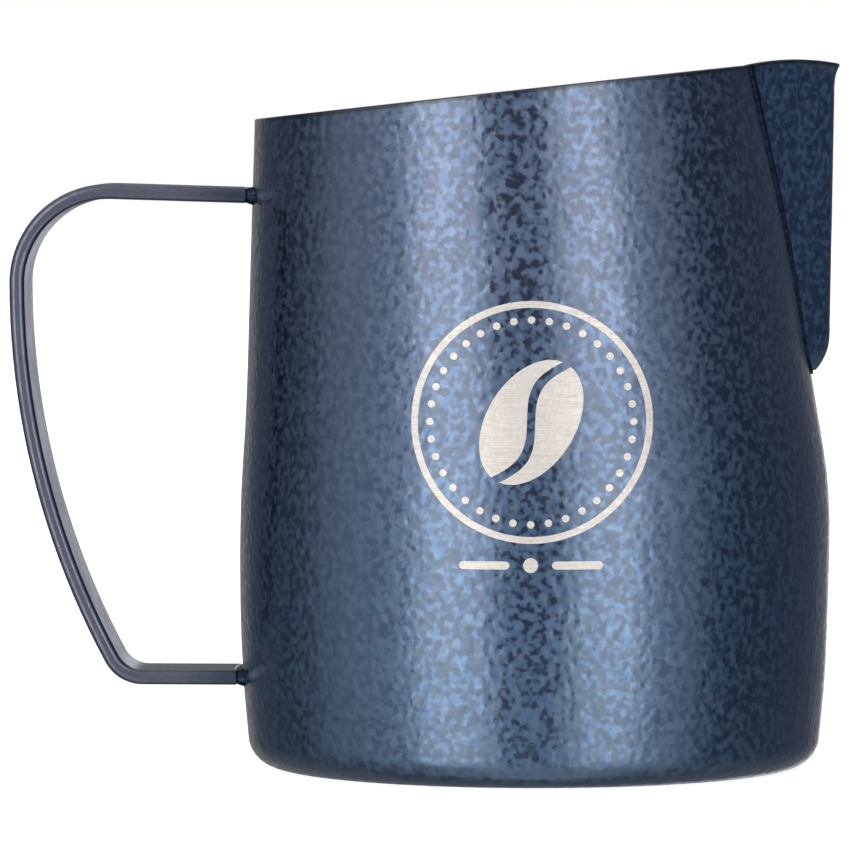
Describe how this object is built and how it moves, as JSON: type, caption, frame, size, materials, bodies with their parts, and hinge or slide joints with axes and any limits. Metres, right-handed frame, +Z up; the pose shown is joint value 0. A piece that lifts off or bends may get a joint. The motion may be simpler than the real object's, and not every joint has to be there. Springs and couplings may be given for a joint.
{
  "type": "milk frothing pitcher",
  "caption": "Straight-sided steel milk frothing pitcher with a slanted rim, welded V-shaped spout and bent flat-strap handle, coated outside.",
  "frame": {"origin": "centre of the base, on the surface the pitcher stands on, on the axis of the belly", "axes": "+Z up, +X towards the spout, the handle at -X"},
  "size_m": [0.1264, 0.09, 0.1078],
  "materials": {
    "body_coating": "speckled metallic steel blue over stainless steel, bare brushed steel inside",
    "spout_coating": "speckled metallic dark teal blue, bare brushed steel inside",
    "handle_coating": "satin metallic dark slate blue",
    "weld_coating": "coated weld bead, satin, almost black blue",
    "emblem_print": "matt cream-silver print"
  },
  "bodies": {
    "root": {"body_shell": "body_coating", "spout": "spout_coating", "handle": "handle_coating", "spout_weld": "weld_coating", "upper_handle_weld": "weld_coating", "lower_handle_weld": "weld_coating"}
  },
  "joints": []
}
